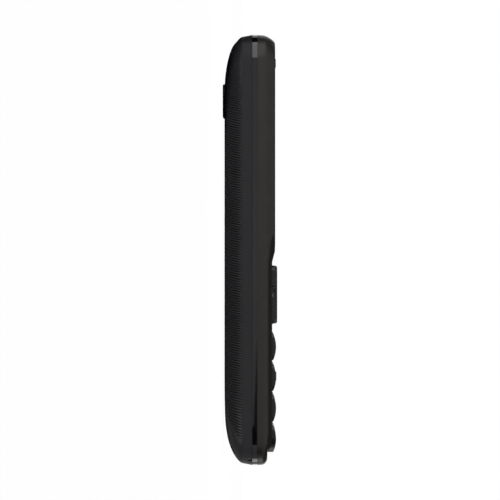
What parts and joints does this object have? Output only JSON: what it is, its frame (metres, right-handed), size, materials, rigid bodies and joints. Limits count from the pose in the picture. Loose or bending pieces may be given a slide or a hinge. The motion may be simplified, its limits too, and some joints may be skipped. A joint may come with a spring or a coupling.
{
  "type": "mobile phone",
  "caption": "Slim one-piece keypad phone with a ribbed battery cover, a polished side band, domed sprung keys, a tilting direction pad and a lift-out battery.",
  "frame": {"origin": "middle of the back, at the level of the camera island that the phone lies on", "axes": "+Z out of the front face, +Y to the top end, +X to the right seen from the front"},
  "size_m": [0.05, 0.116, 0.0146],
  "materials": {
    "ribbed_cover_plastic": "finely ribbed, satin black",
    "rear_housing_plastic": "smooth satin, near black",
    "polished_band": "polished, near black",
    "front_housing_plastic": "satin, warm near black",
    "window": "clear hard-coated",
    "earpiece_metal": "dark brushed",
    "island_plastic": "polished black",
    "camera_glass": "clear",
    "steel_mesh": "woven",
    "plated_steel": "tin plated",
    "frame_steel": "stamped",
    "screw_steel": "blackened",
    "weight_metal": "sintered",
    "board_laminate": "lacquered green",
    "screen_glass": "dark panel",
    "flex_film": "amber film",
    "inner_plastic": "moulded black",
    "carrier_plastic": "moulded grey",
    "silicone": "translucent grey",
    "battery_wrap": "printed film, plain",
    "pad_plastic": "polished",
    "key_plastic": "satin"
  },
  "bodies": {
    "phone": {"rear_housing": "rear_housing_plastic", "trim_band": "polished_band", "front_housing": "front_housing_plastic", "display_window": "window", "earpiece_grille": "earpiece_metal", "camera_bezel": "island_plastic", "camera_window": "camera_glass", "speaker_mesh": "steel_mesh", "usb_socket": "plated_steel", "main_board": "board_laminate", "shield_cans": "plated_steel", "display_panel": "screen_glass", "display_frame": "frame_steel", "display_flex": "flex_film", "earpiece_receiver": "inner_plastic", "battery_contacts": "inner_plastic", "sim_holder": "plated_steel", "memory_card_holder": "plated_steel", "camera_module": "inner_plastic", "loudspeaker": "inner_plastic", "vibration_motor": "plated_steel", "antenna_carrier": "carrier_plastic", "microphone": "plated_steel", "housing_screws": "screw_steel", "keypad_mat": "silicone", "key_domes": "frame_steel"},
    "battery_cover": {"battery_cover": "ribbed_cover_plastic"},
    "battery": {"battery": "battery_wrap"},
    "pad_web": {"pad_web": "silicone"},
    "direction_pad": {"direction_pad": "pad_plastic"},
    "select_key": {"select_key": "key_plastic"},
    "vibration_weight": {"vibration_weight": "weight_metal"},
    "soft_key_left": {"soft_key_left": "key_plastic"},
    "soft_key_right": {"soft_key_right": "key_plastic"},
    "call_key": {"call_key": "key_plastic"},
    "end_key": {"end_key": "key_plastic"},
    "key_1": {"key_1": "key_plastic"},
    "key_2": {"key_2": "key_plastic"},
    "key_3": {"key_3": "key_plastic"},
    "key_4": {"key_4": "key_plastic"},
    "key_5": {"key_5": "key_plastic"},
    "key_6": {"key_6": "key_plastic"},
    "key_7": {"key_7": "key_plastic"},
    "key_8": {"key_8": "key_plastic"},
    "key_9": {"key_9": "key_plastic"},
    "key_star": {"key_star": "key_plastic"},
    "key_0": {"key_0": "key_plastic"},
    "key_hash": {"key_hash": "key_plastic"}
  },
  "joints": [
    {"name": "battery_lift", "type": "slide", "parent": "phone", "child": "battery", "axis": [0, 0, -1], "range_m": [0, 0.007]},
    {"name": "cover_lift", "type": "slide", "parent": "phone", "child": "battery_cover", "axis": [0, 0, -1], "range_m": [0, 0.014]},
    {"name": "pad_tilt_up_down", "type": "hinge", "parent": "phone", "child": "pad_web", "pos_m": [0, -0.012, 0.01065], "axis": [1, 0, 0], "range_deg": [-1.3, 1.3], "stiffness_Nm_per_rad": 0.02},
    {"name": "pad_tilt_left_right", "type": "hinge", "parent": "pad_web", "child": "direction_pad", "pos_m": [0, -0.012, 0.01065], "axis": [0, 1, 0], "range_deg": [-1.3, 1.3], "stiffness_Nm_per_rad": 0.02},
    {"name": "vibration_spin", "type": "hinge", "parent": "phone", "child": "vibration_weight", "pos_m": [-0.0192, 0.027, 0.0056], "axis": [1, 0, 0], "continuous": true},
    {"name": "select_key_press", "type": "slide", "parent": "phone", "child": "select_key", "axis": [0, 0, -1], "range_m": [0, 0.00035], "stiffness_N_per_m": 600, "springref_m": -0.0005},
    {"name": "soft_key_left_press", "type": "slide", "parent": "phone", "child": "soft_key_left", "axis": [0, 0, -1], "range_m": [0, 0.00035], "stiffness_N_per_m": 600, "springref_m": -0.0005},
    {"name": "soft_key_right_press", "type": "slide", "parent": "phone", "child": "soft_key_right", "axis": [0, 0, -1], "range_m": [0, 0.00035], "stiffness_N_per_m": 600, "springref_m": -0.0005},
    {"name": "call_key_press", "type": "slide", "parent": "phone", "child": "call_key", "axis": [0, 0, -1], "range_m": [0, 0.00035], "stiffness_N_per_m": 600, "springref_m": -0.0005},
    {"name": "end_key_press", "type": "slide", "parent": "phone", "child": "end_key", "axis": [0, 0, -1], "range_m": [0, 0.00035], "stiffness_N_per_m": 600, "springref_m": -0.0005},
    {"name": "key_1_press", "type": "slide", "parent": "phone", "child": "key_1", "axis": [0, 0, -1], "range_m": [0, 0.00035], "stiffness_N_per_m": 600, "springref_m": -0.0005},
    {"name": "key_2_press", "type": "slide", "parent": "phone", "child": "key_2", "axis": [0, 0, -1], "range_m": [0, 0.00035], "stiffness_N_per_m": 600, "springref_m": -0.0005},
    {"name": "key_3_press", "type": "slide", "parent": "phone", "child": "key_3", "axis": [0, 0, -1], "range_m": [0, 0.00035], "stiffness_N_per_m": 600, "springref_m": -0.0005},
    {"name": "key_4_press", "type": "slide", "parent": "phone", "child": "key_4", "axis": [0, 0, -1], "range_m": [0, 0.00035], "stiffness_N_per_m": 600, "springref_m": -0.0005},
    {"name": "key_5_press", "type": "slide", "parent": "phone", "child": "key_5", "axis": [0, 0, -1], "range_m": [0, 0.00035], "stiffness_N_per_m": 600, "springref_m": -0.0005},
    {"name": "key_6_press", "type": "slide", "parent": "phone", "child": "key_6", "axis": [0, 0, -1], "range_m": [0, 0.00035], "stiffness_N_per_m": 600, "springref_m": -0.0005},
    {"name": "key_7_press", "type": "slide", "parent": "phone", "child": "key_7", "axis": [0, 0, -1], "range_m": [0, 0.00035], "stiffness_N_per_m": 600, "springref_m": -0.0005},
    {"name": "key_8_press", "type": "slide", "parent": "phone", "child": "key_8", "axis": [0, 0, -1], "range_m": [0, 0.00035], "stiffness_N_per_m": 600, "springref_m": -0.0005},
    {"name": "key_9_press", "type": "slide", "parent": "phone", "child": "key_9", "axis": [0, 0, -1], "range_m": [0, 0.00035], "stiffness_N_per_m": 600, "springref_m": -0.0005},
    {"name": "key_star_press", "type": "slide", "parent": "phone", "child": "key_star", "axis": [0, 0, -1], "range_m": [0, 0.00035], "stiffness_N_per_m": 600, "springref_m": -0.0005},
    {"name": "key_0_press", "type": "slide", "parent": "phone", "child": "key_0", "axis": [0, 0, -1], "range_m": [0, 0.00035], "stiffness_N_per_m": 600, "springref_m": -0.0005},
    {"name": "key_hash_press", "type": "slide", "parent": "phone", "child": "key_hash", "axis": [0, 0, -1], "range_m": [0, 0.00035], "stiffness_N_per_m": 600, "springref_m": -0.0005}
  ],
  "couplings": [
    {"joint": "cover_lift", "follows": "battery_lift", "ratio": 2}
  ]
}
